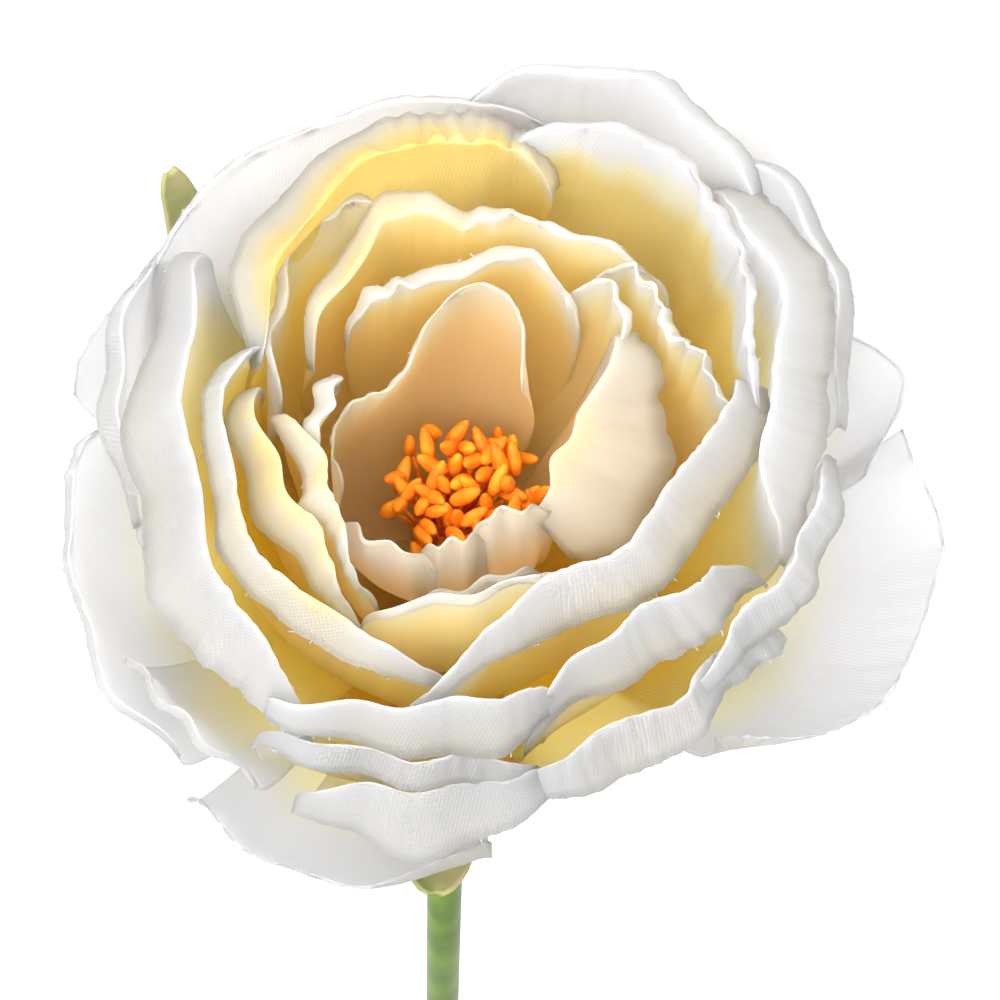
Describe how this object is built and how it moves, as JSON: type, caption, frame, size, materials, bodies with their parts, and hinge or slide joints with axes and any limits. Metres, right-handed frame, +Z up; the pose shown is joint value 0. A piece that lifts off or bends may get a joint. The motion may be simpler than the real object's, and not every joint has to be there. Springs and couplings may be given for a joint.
{
  "type": "artificial rose",
  "caption": "Full cupped fabric rose bloom with folded petal rims, orange stamens, green calyx and a straight wire stem, lying on its side.",
  "frame": {"origin": "centre of the base of the whole flower's bounding box, on the surface that it lies on", "axes": "+Z up, +Y along the stem from the bloom to the cut end, -Y the way the open bloom faces, raised by 7.5 degrees, +X to the bloom's left as the picture shows it"},
  "size_m": [0.1058, 0.3438, 0.0921],
  "materials": {
    "white_fabric": "stiffened woven polyester, white",
    "cream_fabric": "stiffened woven polyester, white rims shading to yellow roots",
    "peach_fabric": "stiffened woven polyester, dyed peach toward the roots",
    "orange_plastic": "moulded soft plastic, orange",
    "sepal_plastic": "moulded soft plastic, olive green with tan tips",
    "stem_plastic": "extruded sheath, mid green",
    "steel_wire": "drawn wire, plain"
  },
  "bodies": {
    "root": {"outer_petals": "white_fabric", "guard_petals": "white_fabric", "cup_petals": "white_fabric", "bowl_petals": "cream_fabric", "inner_petals": "cream_fabric", "nest_petals": "cream_fabric", "heart_petals": "peach_fabric", "stamens": "orange_plastic", "calyx": "sepal_plastic", "stem": "stem_plastic", "stem_wire": "steel_wire"}
  },
  "joints": []
}
